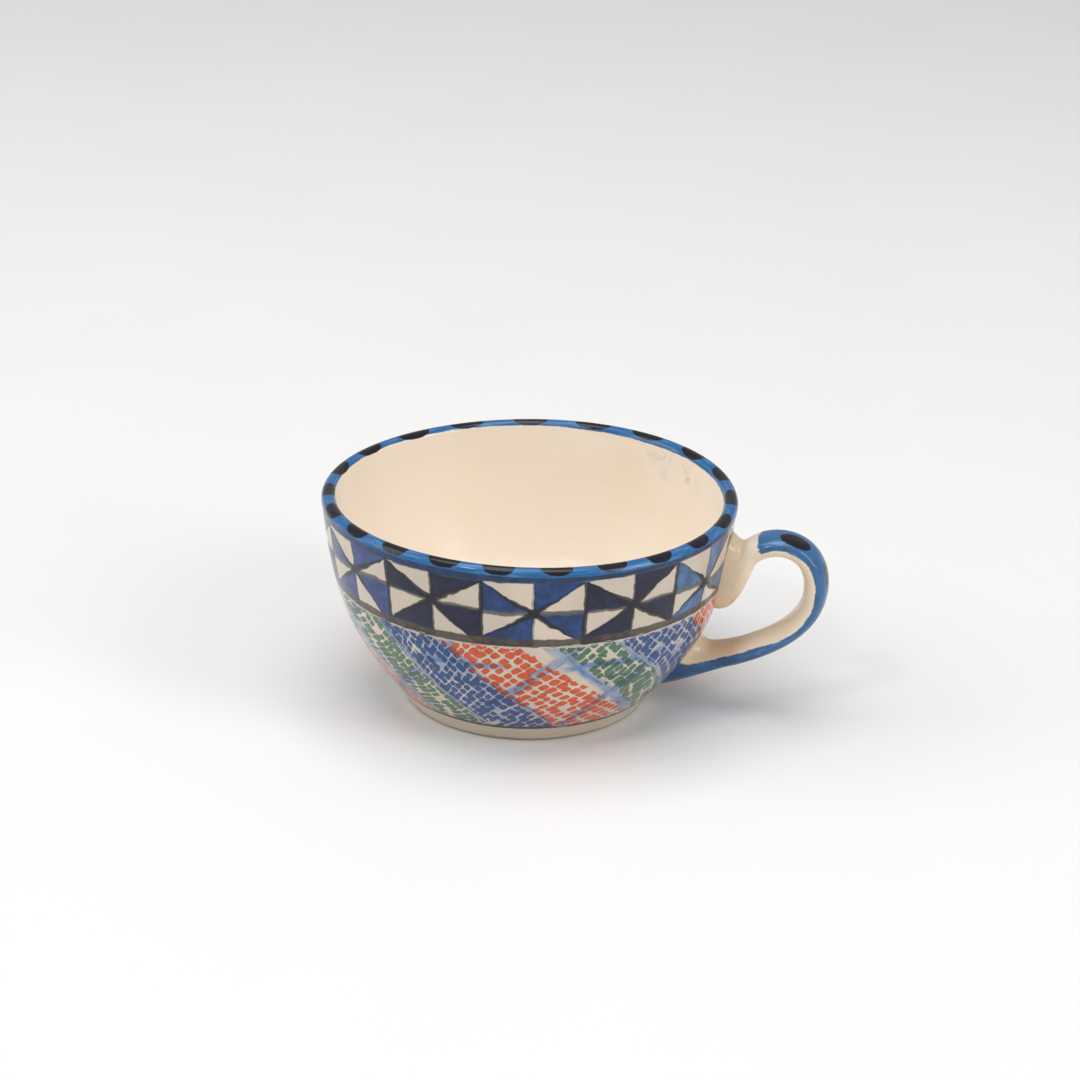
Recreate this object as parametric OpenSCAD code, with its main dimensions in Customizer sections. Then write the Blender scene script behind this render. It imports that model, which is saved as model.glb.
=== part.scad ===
// Wide stoneware cup with a foot ring and a pulled strap handle, thrown, joined and glazed.
// The origin is the centre of the foot on the table, +Z is up and the handle reaches towards +X.

/* [Cup] */
// Diameter over the rim
rim_d = 120; // [114:1:126]
// Height from the table to the top of the lip
cup_h = 63.2; // [60:0.2:66]
// Thickness of the lip, glaze included
lip_t = 4.2; // [3.6:0.1:4.8]
// Thickness of the wall where it reaches the foot, glaze included
base_t = 5.6; // [5:0.1:6.2]
// Lean of the wall outwards at the lip, in degrees
flare = 7.6; // [5:0.2:9]
// Length of the nearly straight wall under the lip
shoulder_h = 17.7; // [15:0.1:20]
// Where the belly turns in towards the foot: how far inside the rim, and how high
belly_in = 2.7; // [1.5:0.1:4]
belly_z = 26.4; // [24:0.2:29]
// Height of the glazed floor inside the cup
floor_z = 9.2; // [8.6:0.1:10]
// How far the inside of the wall runs on before it sweeps into the floor
floor_turn = 9; // [7:0.5:11]
// Radius of the flat middle of the floor
floor_flat_r = 24; // [20:1:28]

/* [Foot] */
// Diameter of the foot ring where it meets the wall
foot_top_d = 76.8; // [75:0.2:78.6]
// Diameter of the circle on which the foot stands, at the outside
foot_d = 69.6; // [68:0.2:71]
// Height of the foot ring
foot_h = 5; // [4.6:0.1:5.4]
// Width of the flat face on which the foot stands
stand_w = 3; // [2:0.5:4]
// Radius of the rounded edges of that face
edge_r = 1.1; // [0.8:0.1:1.4]
// How far the recess widens from its edge to its ceiling
recess_draft = 1.4; // [1:0.1:2]

/* [Handle] */
// Width of the strap, across the cup's radius
strap_w = 12.4; // [11:0.2:14]
// Thickness of the strap at the top of the loop
strap_t = 6.8; // [6:0.2:8]
// Thickness of the strap where it comes down to the lower join
strap_end_t = 7.6; // [6.6:0.2:8.6]
// Reach of the strap's centre line beyond the rim
reach = 24.4; // [23:0.2:28]

/* [Glaze] */
// Thickness of the glaze coats
glaze_t = 0.3; // [0.2:0.05:0.4]
// Distance from the top of the lip to the lower edge of the rim's colour band
band_h = 3.4; // [3:0.1:4.4]

/* [Hidden] */

CLAY = [0.86, 0.78, 0.66];
CREAM_GLAZE = [0.93, 0.87, 0.77];
WALL_GLAZE = [0.30, 0.40, 0.62];
RIM_BLUE = [0.22, 0.40, 0.62];

// Steps along the wall, along the floor, round the lip and round the edge of the foot
WALL_STEPS = 24;
FLOOR_STEPS = 10;
LIP_STEPS = 10;
EDGE_STEPS = 5;
// Points round the strap, and rings along half of the strap, along a join and across its face
STRAP_SIDES = 28;
LOOP_STEPS = 16;
JOIN_STEPS = 10;
FACE_STEPS = 4;
// Gap that keeps the flat facets of a join's face out of the round wall
FACE_LIFT = 0.02;
// How square the strap's section is: 1 is an ellipse and smaller is squarer
SQUARENESS = 0.86;

rim_r = rim_d / 2;
lip_r = lip_t / 2;
lip_centre = [rim_r - lip_r, cup_h - lip_r];

function bezier(p, t) =
    pow(1 - t, 3) * p[0] + 3 * pow(1 - t, 2) * t * p[1] + 3 * (1 - t) * t * t * p[2] + pow(t, 3) * p[3];
function bezier_slope(p, t) =
    pow(1 - t, 2) * (p[1] - p[0]) + 2 * (1 - t) * t * (p[2] - p[1]) + t * t * (p[3] - p[2]);
function heading(v) = v / norm(v);
function mix(a, b, t) = (1 - t) * a + t * b;

// The glazed outside of the wall, from the lip's round (t = 0) down to the foot (t = 1)
wall_start = lip_centre + lip_r * [cos(flare), -sin(flare)];
wall_curve = [
    wall_start,
    wall_start - shoulder_h * [sin(flare), cos(flare)],
    [rim_r - belly_in, belly_z],
    [foot_top_d / 2, foot_h]
];

// A point under the glazed outside of the wall, at a depth measured square to it
function wall_point(t, depth) =
    let (d = heading(bezier_slope(wall_curve, t)))
    bezier(wall_curve, t) + depth * [d[1], -d[0]];
function wall_t(t) = mix(lip_t, base_t, t);
function wall_side(depth, from = 0) =
    [for (i = [0 : WALL_STEPS]) wall_point(mix(from, 1, i / WALL_STEPS), depth)];

// The inside follows the wall down to FLOOR_START and then sweeps in to the middle of the floor
FLOOR_START = 0.74;
function inner_point(t, cover) = wall_point(t, wall_t(t) - cover);
function inner_side(cover, from = 0) =
    let (
        a = inner_point(FLOOR_START, cover),
        turn = a + floor_turn * heading(bezier_slope(wall_curve, FLOOR_START)),
        floor_curve = [a, turn, [floor_flat_r, floor_z - cover], [0, floor_z - cover]]
    )
    concat(
        [for (i = [0 : WALL_STEPS]) inner_point(mix(from, FLOOR_START, i / WALL_STEPS), cover)],
        [for (i = [1 : FLOOR_STEPS]) bezier(floor_curve, i / FLOOR_STEPS)]
    );

// The round of the lip, from the inside over the top to the outside
function lip_arc(r) =
    [for (i = [0 : LIP_STEPS]) let (a = 180 - flare - 180 * i / LIP_STEPS) lip_centre + r * [cos(a), sin(a)]];

function reversed(list) = [for (i = [len(list) - 1 : -1 : 0]) list[i]];

// Near the lip the wall is straight, so the colour band's edge is found from the curve's first slope
band_t = (band_h - (cup_h - wall_start[1])) / (3 * (wall_start[1] - wall_curve[1][1]));

// Radius of the unglazed wall at a height, for laying the joins on it
clay_radii = [for (p = reversed(wall_side(glaze_t))) [p[1], p[0]]];
function on_wall(y, z, lift) = [sqrt(pow(lookup(z, clay_radii) + lift, 2) - y * y), y, z];

// The strap's centre line in the XZ plane: over the top to the farthest point, then down and back
far_x = rim_r + reach;
upper_run = [[rim_r + 5.5, 50.4], [rim_r + 13, 56], [far_x, 52.3], [far_x, 41]];
lower_run = [[far_x, 41], [far_x, 31.5], [rim_r + 15.5, 23], [rim_r - 0.4, 18]];

function signed_pow(v, e) = sign(v) * pow(abs(v), e);

// One ring of the strap: thick across the run of the centre line, and wide along Y
function strap_ring(centre, along, thick) =
    let (d = heading(along), up = [-d[1], d[0]])
    [for (i = [0 : STRAP_SIDES - 1])
        let (
            a = 360 * i / STRAP_SIDES,
            c = centre + thick / 2 * signed_pow(cos(a), SQUARENESS) * up
        )
        [c[0], strap_w / 2 * signed_pow(sin(a), SQUARENESS), c[1]]];
function run_ring(run, t, thick) = strap_ring(bezier(run, t), bezier_slope(run, t), thick);

// The outline of a join on the wall, an egg about mid_z. It starts at the height that meets the
// strap's outer face, which is the top of the upper join and the foot of the lower one.
function footprint_ring(outer_z, mid_z, inner_z, half_w, size, lift) =
    [for (i = [0 : STRAP_SIDES - 1])
        let (
            a = 360 * i / STRAP_SIDES,
            rise = cos(a) > 0 ? outer_z - mid_z : mid_z - inner_z
        )
        on_wall(size * half_w * sin(a), mid_z + size * rise * cos(a), lift)];

// Rings that leave the outline away from the wall, and turn to meet the strap's end ring
function join_rings(outline, leave_outer, leave_inner, ring, arrive) =
    [for (k = [0 : JOIN_STEPS])
        let (
            u = k / JOIN_STEPS,
            w0 = (1 + 2 * u) * pow(1 - u, 2),
            s0 = u * pow(1 - u, 2),
            w1 = u * u * (3 - 2 * u),
            s1 = u * u * (u - 1)
        )
        [for (i = [0 : STRAP_SIDES - 1])
            let (leave = mix(leave_outer, leave_inner, (1 - cos(360 * i / STRAP_SIDES)) / 2))
            w0 * outline[i] + s0 * leave + w1 * ring[i] + s1 * arrive]];

// A closed skin over a list of rings, with a fan of triangles to a middle point at each end
module skin(first_middle, rings, last_middle) {
    n = len(rings[0]);
    last = len(rings) - 1;
    points = concat([first_middle], [for (ring = rings, p = ring) p], [last_middle]);
    faces = concat(
        [for (i = [0 : n - 1]) [0, 1 + (i + 1) % n, 1 + i]],
        [for (k = [0 : last - 1], i = [0 : n - 1])
            [1 + k * n + i, 1 + k * n + (i + 1) % n, 1 + (k + 1) * n + i]],
        [for (k = [0 : last - 1], i = [0 : n - 1])
            [1 + k * n + (i + 1) % n, 1 + (k + 1) * n + (i + 1) % n, 1 + (k + 1) * n + i]],
        [for (i = [0 : n - 1]) [1 + last * n + i, 1 + last * n + (i + 1) % n, len(points) - 1]]
    );
    polyhedron(points, faces);
}

// Each join: its outline on the wall [outer, middle, inner height, half width], how its outer and
// its inner edge leave the wall, the strap's end ring and that ring's centre, and how it arrives
UPPER_OUTLINE = [54.6, 47, 32, 5.8];
LOWER_OUTLINE = [5.8, 14.5, 23, 7.6];
upper_join = [UPPER_OUTLINE, [7, 0, -3], [31, 0, -3], run_ring(upper_run, 0, strap_t),
    upper_run[0], 8 * heading(upper_run[1] - upper_run[0])];
lower_join = [LOWER_OUTLINE, [18, 0, -3.5], [7, 0, -5], run_ring(lower_run, 1, strap_end_t),
    lower_run[3], 12 * heading(lower_run[2] - lower_run[3])];

function outline(join, size, lift) =
    footprint_ring(join[0][0], join[0][1], join[0][2], join[0][3], size, lift);

module join_body(join) {
    arrive = [join[5][0], 0, join[5][1]];
    rings = concat(
        [for (k = [1 : FACE_STEPS - 1]) outline(join, k / FACE_STEPS, FACE_LIFT)],
        join_rings(outline(join, 1, FACE_LIFT), join[1], join[2], join[3], arrive)
    );
    on_face = on_wall(0, join[0][1], FACE_LIFT);
    in_strap = [join[4][0], 0, join[4][1]];
    if (join[0][0] > join[0][2])
        skin(on_face, rings, in_strap);
    else
        skin(in_strap, reversed(rings), on_face);
}

// The window that a join leaves in the coat of glaze on the wall
module join_window(join) {
    ends = join[0][0] > join[0][2] ? [-1, 1] : [1, -1];
    skin(
        on_wall(0, join[0][1], ends[0]),
        [outline(join, 1, ends[0]), outline(join, 1, ends[1])],
        on_wall(0, join[0][1], ends[1])
    );
}

// Thrown bowl: the wall, the round of the lip and the floor, all in clay
module bowl() {
    color(CLAY)
    rotate_extrude($fn = 128)
    polygon(concat(
        lip_arc(lip_r - glaze_t),
        [for (i = [1 : WALL_STEPS]) wall_side(glaze_t)[i]],
        [[foot_top_d / 2, foot_h], [0, foot_h]],
        [for (i = [len(inner_side(glaze_t)) - 1 : -1 : 1]) inner_side(glaze_t)[i]]
    ));
}

// Turned foot ring: a coved outside, a narrow face to stand on and a shallow recess inside
module foot_ring() {
    stand_r = foot_d / 2;
    recess_r = stand_r - stand_w - edge_r;
    cove = [[foot_top_d / 2, foot_h], [stand_r + 2.1, 3.3], [stand_r + 1.6, 2.4], [stand_r + edge_r, edge_r]];
    color(CLAY)
    rotate_extrude($fn = 128)
    polygon(concat(
        [for (i = [0 : 8]) bezier(cove, i / 8)],
        [for (i = [1 : EDGE_STEPS]) let (a = 90 * i / EDGE_STEPS)
            [stand_r + edge_r * cos(a), edge_r * (1 - sin(a))]],
        [for (i = [0 : EDGE_STEPS]) let (a = 90 * i / EDGE_STEPS)
            [recess_r + edge_r * (1 - sin(a)), edge_r * (1 - cos(a))]],
        [[recess_r - recess_draft, foot_h]]
    ));
}

// Pulled strap, bent into an ear
module handle() {
    first = [for (i = [0 : LOOP_STEPS]) run_ring(upper_run, i / LOOP_STEPS, strap_t)];
    second = [for (i = [1 : LOOP_STEPS])
        run_ring(lower_run, i / LOOP_STEPS, mix(strap_t, strap_end_t, i / LOOP_STEPS))];
    color(CREAM_GLAZE)
    skin([upper_run[0][0], 0, upper_run[0][1]], concat(first, second), [lower_run[3][0], 0, lower_run[3][1]]);
}

// Thumbed clay that joins the top of the strap to the wall, with a tongue pressed down the wall
module upper_handle_join() {
    color(CREAM_GLAZE) join_body(upper_join);
}

// Clay spread from the lower end of the strap on to the wall
module lower_handle_join() {
    color(CREAM_GLAZE) join_body(lower_join);
}

// Clear coat over the inside and the floor, up to the colour band
module inner_glaze() {
    color(CREAM_GLAZE)
    rotate_extrude($fn = 128)
    polygon(concat(inner_side(0, band_t), reversed(inner_side(glaze_t, band_t))));
}

// Painted and clear-coated outside of the wall, from the colour band to the foot
module outer_glaze() {
    color(WALL_GLAZE)
    difference() {
        rotate_extrude($fn = 128)
        polygon(concat(wall_side(0, band_t), reversed(wall_side(glaze_t, band_t))));
        join_window(upper_join);
        join_window(lower_join);
    }
}

// Colour band over the lip
module rim_glaze() {
    color(RIM_BLUE)
    rotate_extrude($fn = 128)
    polygon(concat(
        [inner_point(band_t, 0)], lip_arc(lip_r), [wall_point(band_t, 0)],
        [wall_point(band_t, glaze_t)], reversed(lip_arc(lip_r - glaze_t)), [inner_point(band_t, glaze_t)]
    ));
}

bowl();
foot_ring();
handle();
upper_handle_join();
lower_handle_join();
inner_glaze();
outer_glaze();
rim_glaze();
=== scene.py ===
import math

import bpy
import numpy as np
from mathutils import Matrix, Vector


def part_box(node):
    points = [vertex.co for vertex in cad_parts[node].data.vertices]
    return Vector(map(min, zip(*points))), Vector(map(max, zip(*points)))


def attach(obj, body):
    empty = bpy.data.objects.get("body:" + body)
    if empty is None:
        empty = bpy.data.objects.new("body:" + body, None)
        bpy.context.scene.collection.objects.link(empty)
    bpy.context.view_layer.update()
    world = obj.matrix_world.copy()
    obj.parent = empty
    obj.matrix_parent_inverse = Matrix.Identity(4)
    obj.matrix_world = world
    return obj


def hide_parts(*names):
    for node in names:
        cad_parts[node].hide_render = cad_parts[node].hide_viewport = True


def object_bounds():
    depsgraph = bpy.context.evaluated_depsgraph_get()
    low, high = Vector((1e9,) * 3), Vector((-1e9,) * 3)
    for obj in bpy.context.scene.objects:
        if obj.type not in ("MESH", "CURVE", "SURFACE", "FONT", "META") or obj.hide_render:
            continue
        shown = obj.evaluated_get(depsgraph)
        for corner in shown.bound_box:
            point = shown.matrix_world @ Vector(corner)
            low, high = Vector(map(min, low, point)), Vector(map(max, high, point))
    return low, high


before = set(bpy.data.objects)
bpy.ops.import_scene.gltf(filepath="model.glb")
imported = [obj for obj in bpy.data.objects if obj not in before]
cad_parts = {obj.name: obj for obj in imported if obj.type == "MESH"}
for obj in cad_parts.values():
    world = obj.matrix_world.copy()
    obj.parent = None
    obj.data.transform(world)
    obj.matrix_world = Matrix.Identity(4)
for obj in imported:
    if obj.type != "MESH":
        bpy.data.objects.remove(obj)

CAD_BOX = [list(corner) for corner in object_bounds()]
MM = 0.001

# ---------------------------------------------------------------- the cup's sizes, in millimetres
# From the frame where a body's box gives them, and else the part's own sizes
RIM_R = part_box("rim_glaze")[1].x / MM
CUP_H = CAD_BOX[1][2] / MM
FOOT_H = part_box("foot_ring")[1].z / MM
FOOT_TOP_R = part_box("foot_ring")[1].x / MM
BAND_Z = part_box("rim_glaze")[0].z / MM
STRAP_W = 2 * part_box("handle")[1].y / MM
GLAZE_T = 0.3
FLOOR_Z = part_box("inner_glaze")[0].z / MM + GLAZE_T
LIP_T = 4.2
BASE_T = 5.6
FLARE = math.radians(7.6)
SHOULDER_H = 17.7
BELLY_IN = 2.7
BELLY_Z = 26.4
FLOOR_TURN = 9
FLOOR_FLAT_R = 24
STAND_R = 34.8
STAND_W = 3.0
EDGE_R = 1.1
RECESS_DRAFT = 1.4
STRAP_T = 6.8
STRAP_END_T = 7.6
# The height at which the painted band meets the stamped one
MOSAIC_LOW_Z = 39.7

# ---------------------------------------------------------------- curves


def bezier(p, t):
    p = [np.asarray(q, float) for q in p]
    return (1 - t) ** 3 * p[0] + 3 * (1 - t) ** 2 * t * p[1] + 3 * (1 - t) * t * t * p[2] + t**3 * p[3]


def bezier_slope(p, t):
    p = [np.asarray(q, float) for q in p]
    return (1 - t) ** 2 * (p[1] - p[0]) + 2 * (1 - t) * t * (p[2] - p[1]) + t * t * (p[3] - p[2])


def unit(v):
    return v / np.linalg.norm(v)


LIP_R = LIP_T / 2
LIP_CENTRE = np.array([RIM_R - LIP_R, CUP_H - LIP_R])
WALL_START = LIP_CENTRE + LIP_R * np.array([math.cos(FLARE), -math.sin(FLARE)])
WALL = [
    WALL_START,
    WALL_START - SHOULDER_H * np.array([math.sin(FLARE), math.cos(FLARE)]),
    (RIM_R - BELLY_IN, BELLY_Z),
    (FOOT_TOP_R, FOOT_H),
]
FLOOR_START = 0.74


def wall_point(t, depth):
    """A point [radius, height] under the glazed outside of the wall; t runs from the lip to the foot."""
    d = unit(bezier_slope(WALL, t))
    return bezier(WALL, t) + depth * np.array([d[1], -d[0]])


def inner_point(t, cover):
    """A point on the inside of the wall, which thickens downwards; cover is how far under its glaze."""
    return wall_point(t, LIP_T + (BASE_T - LIP_T) * t - cover)


def wall_t_at(z):
    """Where along the wall's curve its outside passes a height."""
    low, high = 0.0, 1.0
    for _ in range(40):
        mid = (low + high) / 2
        if bezier(WALL, mid)[1] > z:
            low = mid
        else:
            high = mid
    return low


BAND_T = wall_t_at(BAND_Z)
MOSAIC_T = wall_t_at(MOSAIC_LOW_Z)
LIP_STEPS = 28


def wall_side(depth, t0, t1, steps):
    return [wall_point(t0 + (t1 - t0) * i / steps, depth) for i in range(steps + 1)]


def inner_side(cover, t0, steps, floor_steps):
    """The inside from the lip down the wall and round to the middle of the floor."""
    a = inner_point(FLOOR_START, cover)
    turn = a + FLOOR_TURN * unit(bezier_slope(WALL, FLOOR_START))
    floor = [a, turn, (FLOOR_FLAT_R, FLOOR_Z - cover), (0, FLOOR_Z - cover)]
    side = [inner_point(t0 + (FLOOR_START - t0) * i / steps, cover) for i in range(steps + 1)]
    return side + [bezier(floor, i / floor_steps) for i in range(1, floor_steps + 1)]


def lip_arc(r, steps):
    """The round of the lip, from the inside over the top to the outside."""
    angles = [math.pi - FLARE - math.pi * i / steps for i in range(steps + 1)]
    return [LIP_CENTRE + r * np.array([math.cos(a), math.sin(a)]) for a in angles]


# ---------------------------------------------------------------- the marks of the hand


def warp(points):
    """Moves points, in millimetres, as throwing, the handle's weight and drying did: a rim that isn't
    quite level or round, a belly drawn out by the handle, and faint throwing rings."""
    p = np.array(points, float)
    x, y, z = p[:, 0], p[:, 1], p[:, 2]
    r = np.hypot(x, y)
    a = np.arctan2(y, x)
    h = np.clip(z / CUP_H, 0, 1)
    share = np.clip(r / 20, 0, 1)
    oval = 0.28 * h**2 * np.cos(2 * (a - 0.5)) + 0.10 * h * np.sin(3 * a + 0.7)
    drawn = 0.8 * np.exp(-((a / 0.55) ** 2)) * np.exp(-(((z - 26) / 13) ** 2))
    rings = 0.018 * np.sin(2 * math.pi * z / 4.6 + 1.3 * np.sin(a)) * np.clip((z - 8) / 10, 0, 1)
    grow = (oval + drawn + rings) * share
    scale = np.where(r > 1e-6, (r + grow) / np.maximum(r, 1e-6), 1)
    lift = h**6 * share * (0.57 * np.cos(a + 1.47) + 0.53 * np.cos(2 * (a - 1.025)))
    off_centre = -0.3 * np.clip(1 - z / 9, 0, 1)
    side = math.radians(10)
    return np.column_stack([
        x * scale + off_centre * math.cos(side), y * scale + off_centre * math.sin(side), z + lift])


# ---------------------------------------------------------------- meshes


def make_mesh(name, points, faces, attributes=None, sharp=0.7):
    """A mesh object from points in millimetres, with numbers kept at each point for its material."""
    mesh = bpy.data.meshes.new(name)
    mesh.from_pydata([tuple(q) for q in np.asarray(points) * MM], [], [tuple(f) for f in faces])
    for key, values in (attributes or {}).items():
        layer = mesh.attributes.new(key, "FLOAT", "POINT")
        layer.data.foreach_set("value", np.asarray(values, np.float32))
    mesh.validate()
    mesh.shade_smooth()
    mesh.set_sharp_from_angle(angle=sharp)
    obj = bpy.data.objects.new(name, mesh)
    bpy.context.scene.collection.objects.link(obj)
    return obj


def lathe(name, outline, around=320, run=None):
    """Turns a closed outline of [radius, height] points about the axis. Points on the axis become one.
    Outlines run anticlockwise in the half plane, seen with the radius to the right."""
    outline = [np.asarray(q, float) for q in outline]
    points, rings, runs = [], [], []
    for k, (r, z) in enumerate(outline):
        start = len(points)
        if r < 1e-6:
            points.append((0.0, 0.0, z))
            rings.append([start] * around)
            runs.append(run[k] if run is not None else 0.0)
        else:
            for i in range(around):
                a = 2 * math.pi * i / around
                points.append((r * math.cos(a), r * math.sin(a), z))
            rings.append(list(range(start, start + around)))
            runs.extend([run[k] if run is not None else 0.0] * around)
    faces = []
    for k in range(len(rings)):
        low, high = rings[k], rings[(k + 1) % len(rings)]
        for i in range(around):
            j = (i + 1) % around
            corners = []
            for v in (low[i], low[j], high[j], high[i]):
                if v not in corners:
                    corners.append(v)
            if len(corners) > 2:
                faces.append(corners)
    return make_mesh(name, warp(points), faces, {"run": runs})


def run_along(points):
    """Distance in millimetres from the first point of an outline to each one."""
    steps = np.linalg.norm(np.diff(np.asarray(points), axis=0), axis=1)
    return np.concatenate([[0], np.cumsum(steps)])


# ---------------------------------------------------------------- the handle's sweep
REACH = 24.4
LOOP_Z = 41
UPPER_RUN = [(RIM_R + 5.5, 50.4), (RIM_R + 13, 56), (RIM_R + REACH, 52.3), (RIM_R + REACH, LOOP_Z)]
LOWER_RUN = [(RIM_R + REACH, LOOP_Z), (RIM_R + REACH, 31.5), (RIM_R + 15.5, 23), (RIM_R - 0.4, 18)]
RUN_STEPS = 44
JOIN_STEPS = 22
STRAP_SIDES = 72
# Length given to every ring of the strap, so that the stripe keeps its share of it over the joins
STRAP_ROUND = 32.0
SQUARENESS = 0.86
# How far the joins' outlines lie under the clay's surface
SUNK = 0.35


def signed_pow(v, e):
    return math.copysign(abs(v) ** e, v)


def strap_ring(centre, along, thick, pinch=0.0):
    """A ring round the strap; pinch thins it from the inner face, leaving the outer face where it is."""
    d = unit(np.asarray(along, float))
    up = np.array([-d[1], d[0]])
    middle = centre + pinch / 2 * up
    ring = []
    for i in range(STRAP_SIDES):
        a = 2 * math.pi * i / STRAP_SIDES
        c = middle + (thick - pinch) / 2 * signed_pow(math.cos(a), SQUARENESS) * up
        ring.append((c[0], STRAP_W / 2 * signed_pow(math.sin(a), SQUARENESS), c[1]))
    return np.array(ring)


def clay_radius(z):
    return wall_point(wall_t_at(z), 0)[0]


def footprint(outer_z, mid_z, inner_z, half_w, blunt):
    """The outline of a join on the wall, an egg about mid_z, starting under the strap's outer face.
    blunt squares off its inner end, as a pressed thumb does; 1 leaves it round."""
    ring = []
    for i in range(STRAP_SIDES):
        a = 2 * math.pi * i / STRAP_SIDES
        outer = math.cos(a) > 0
        power = 1 if outer else blunt
        y = half_w * signed_pow(math.sin(a), power)
        z = mid_z + (outer_z - mid_z if outer else mid_z - inner_z) * signed_pow(math.cos(a), power)
        ring.append((math.sqrt((clay_radius(z) - SUNK) ** 2 - y * y), y, z))
    return np.array(ring)


def join_rings(outline, leave_outer, leave_inner, ring, arrive, steps, spread):
    """Rings from an outline on the wall to a ring of the strap. spread makes the foot of the join
    slide along the wall before it rises, as clay smoothed down with a thumb does."""
    w = (1 - np.cos(2 * math.pi * np.arange(STRAP_SIDES) / STRAP_SIDES)) / 2
    leave = np.outer(1 - w, leave_outer) + np.outer(w, leave_inner)
    leave = leave + spread * (outline.mean(0) - outline) * np.array([0, 1, 1])
    rings = []
    for k in range(steps + 1):
        u = k / steps
        rings.append(
            (1 + 2 * u) * (1 - u) ** 2 * outline
            + u * (1 - u) ** 2 * leave
            + u * u * (3 - 2 * u) * ring
            + u * u * (u - 1) * np.asarray(arrive, float)
        )
    return rings


def handle_mesh():
    """The strap and both joins as one skin, with where each point is along and across the strap."""
    loop = []
    for i in range(RUN_STEPS + 1):
        t = i / RUN_STEPS
        pinch = 0.6 * math.sin(math.pi * min(t / 0.8, 1)) - 0.35 * t**4
        loop.append(strap_ring(bezier(UPPER_RUN, t), bezier_slope(UPPER_RUN, t), STRAP_T, pinch))
    for i in range(1, RUN_STEPS + 1):
        t = i / RUN_STEPS
        thick = STRAP_T + (STRAP_END_T - STRAP_T) * t
        pinch = -0.35 * (1 - t) ** 3 + 0.85 * math.sin(math.pi / 2 * min(t / 0.6, 1)) ** 2
        loop.append(strap_ring(bezier(LOWER_RUN, t), bezier_slope(LOWER_RUN, t), thick, pinch))
    d = unit(np.subtract(UPPER_RUN[1], UPPER_RUN[0]))
    upper = join_rings(
        footprint(outer_z=55.6, mid_z=47, inner_z=32.0, half_w=7.2, blunt=0.70),
        leave_outer=(7, 0, -2), leave_inner=(27, 0, -8),
        ring=loop[0], arrive=(8 * d[0], 0, 8 * d[1]), steps=JOIN_STEPS, spread=0.3)
    d = unit(np.subtract(LOWER_RUN[2], LOWER_RUN[3]))
    lower = join_rings(
        footprint(outer_z=5.7, mid_z=14.5, inner_z=23.2, half_w=8.4, blunt=1),
        leave_outer=(18, 0, -2.5), leave_inner=(5, 0, -6),
        ring=loop[-1], arrive=(12 * d[0], 0, 12 * d[1]), steps=JOIN_STEPS, spread=0.6)
    rings = upper[:-1] + loop + lower[:-1][::-1]
    n = STRAP_SIDES
    middles = [r.mean(0) for r in rings]
    along = run_along(middles)
    along = along - along[len(upper) - 1]
    points = np.vstack([middles[0]] + rings + [middles[-1]])
    across, runs = [0.0], [along[0]]
    for k, ring in enumerate(rings):
        edge = run_along(np.vstack([ring, ring[:1]]))
        edge = edge * (STRAP_ROUND / edge[-1])
        across += [min(e, edge[-1] - e) for e in edge[:-1]]
        runs += [along[k]] * n
    across.append(0.0)
    runs.append(along[-1])
    # Small unevenness from pulling and bending the strap
    a = points[:, 1] / 6
    s = np.array(runs)
    swell = np.sin(s / 5.1 + 0.4) * 0.10 + np.sin(s / 2.7 + 2.0 * a) * 0.05
    body = np.clip(np.minimum(s, along[-1] - 14 - s) / 4, 0, 1)
    points[:, 1] += swell * body * np.sign(points[:, 1]) + 0.35 * np.sin(s / 16) * body
    last = len(rings) - 1
    faces = [(0, 1 + (i + 1) % n, 1 + i) for i in range(n)]
    for k in range(last):
        for i in range(n):
            j = (i + 1) % n
            faces.append((1 + k * n + i, 1 + k * n + j, 1 + (k + 1) * n + j, 1 + (k + 1) * n + i))
    end = len(points) - 1
    faces += [(1 + last * n + i, 1 + last * n + (i + 1) % n, end) for i in range(n)]
    # The joins lie on the warped wall, and the loop stays where it is
    near = np.clip((66 - points[:, 0]) / 8, 0, 1)[:, None]
    points = points + near * (warp(points) - points)
    return make_mesh("strap_handle", points, faces, {"run": runs, "across": across})


# ---------------------------------------------------------------- pieces of the cup


def shell(name, visible, hidden):
    """A closed coat: the visible side's points, then the hidden side's points back to the start."""
    run = list(run_along(visible))
    return lathe(name, list(visible) + list(hidden), run=run + [run[-1]] * len(hidden))


def rim_section():
    """The rim band's outside, from its inner edge over the lip to its outer edge."""
    return [inner_point(BAND_T, 0)] + lip_arc(LIP_R, LIP_STEPS) + [wall_point(BAND_T, 0)]


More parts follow.
